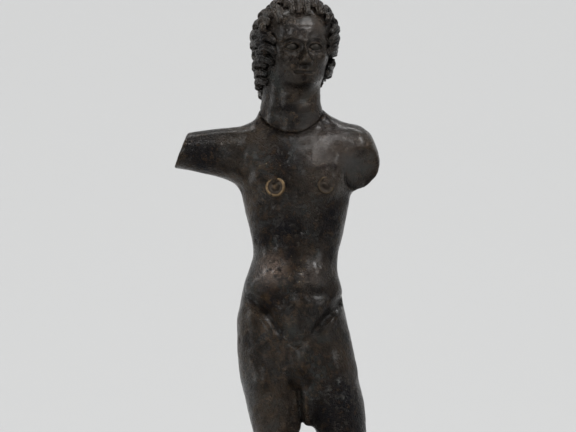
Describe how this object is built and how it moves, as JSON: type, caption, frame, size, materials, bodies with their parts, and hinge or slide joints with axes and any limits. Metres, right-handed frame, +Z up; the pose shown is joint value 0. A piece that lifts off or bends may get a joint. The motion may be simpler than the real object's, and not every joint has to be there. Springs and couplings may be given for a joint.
{
  "type": "bronze statuette",
  "caption": "Cast bronze statuette of a standing youth with curled hair, both arms lost, on a turned dark wood socle.",
  "frame": {"origin": "centre of the felt's underside, on the surface that the statuette stands on", "axes": "+Z up along the figure's height, the figure faces -Y, +X towards the figure's left side"},
  "size_m": [0.072, 0.072, 0.2271],
  "materials": {
    "bronze": "dark brown-black patina, waxed, worn on the high points",
    "dowel_bronze": "patinated bronze, dull",
    "copper_inlay": "tarnished copper, rubbed bright at the rim",
    "silver_inlay": "tarnished silver",
    "brass_hardware": "plain turned brass",
    "ebonised_wood": "ebonised hardwood, wax polished",
    "felt": "pressed wool felt"
  },
  "bodies": {
    "root": {"body": "bronze", "head": "bronze", "neck_dowel": "dowel_bronze", "areola_right": "copper_inlay", "areola_left": "copper_inlay", "eye_right": "silver_inlay", "eye_left": "silver_inlay", "stud_right": "brass_hardware", "stud_left": "brass_hardware", "stud_washers": "brass_hardware", "stud_nuts": "brass_hardware", "socle": "ebonised_wood", "felt_pad": "felt"}
  },
  "joints": []
}
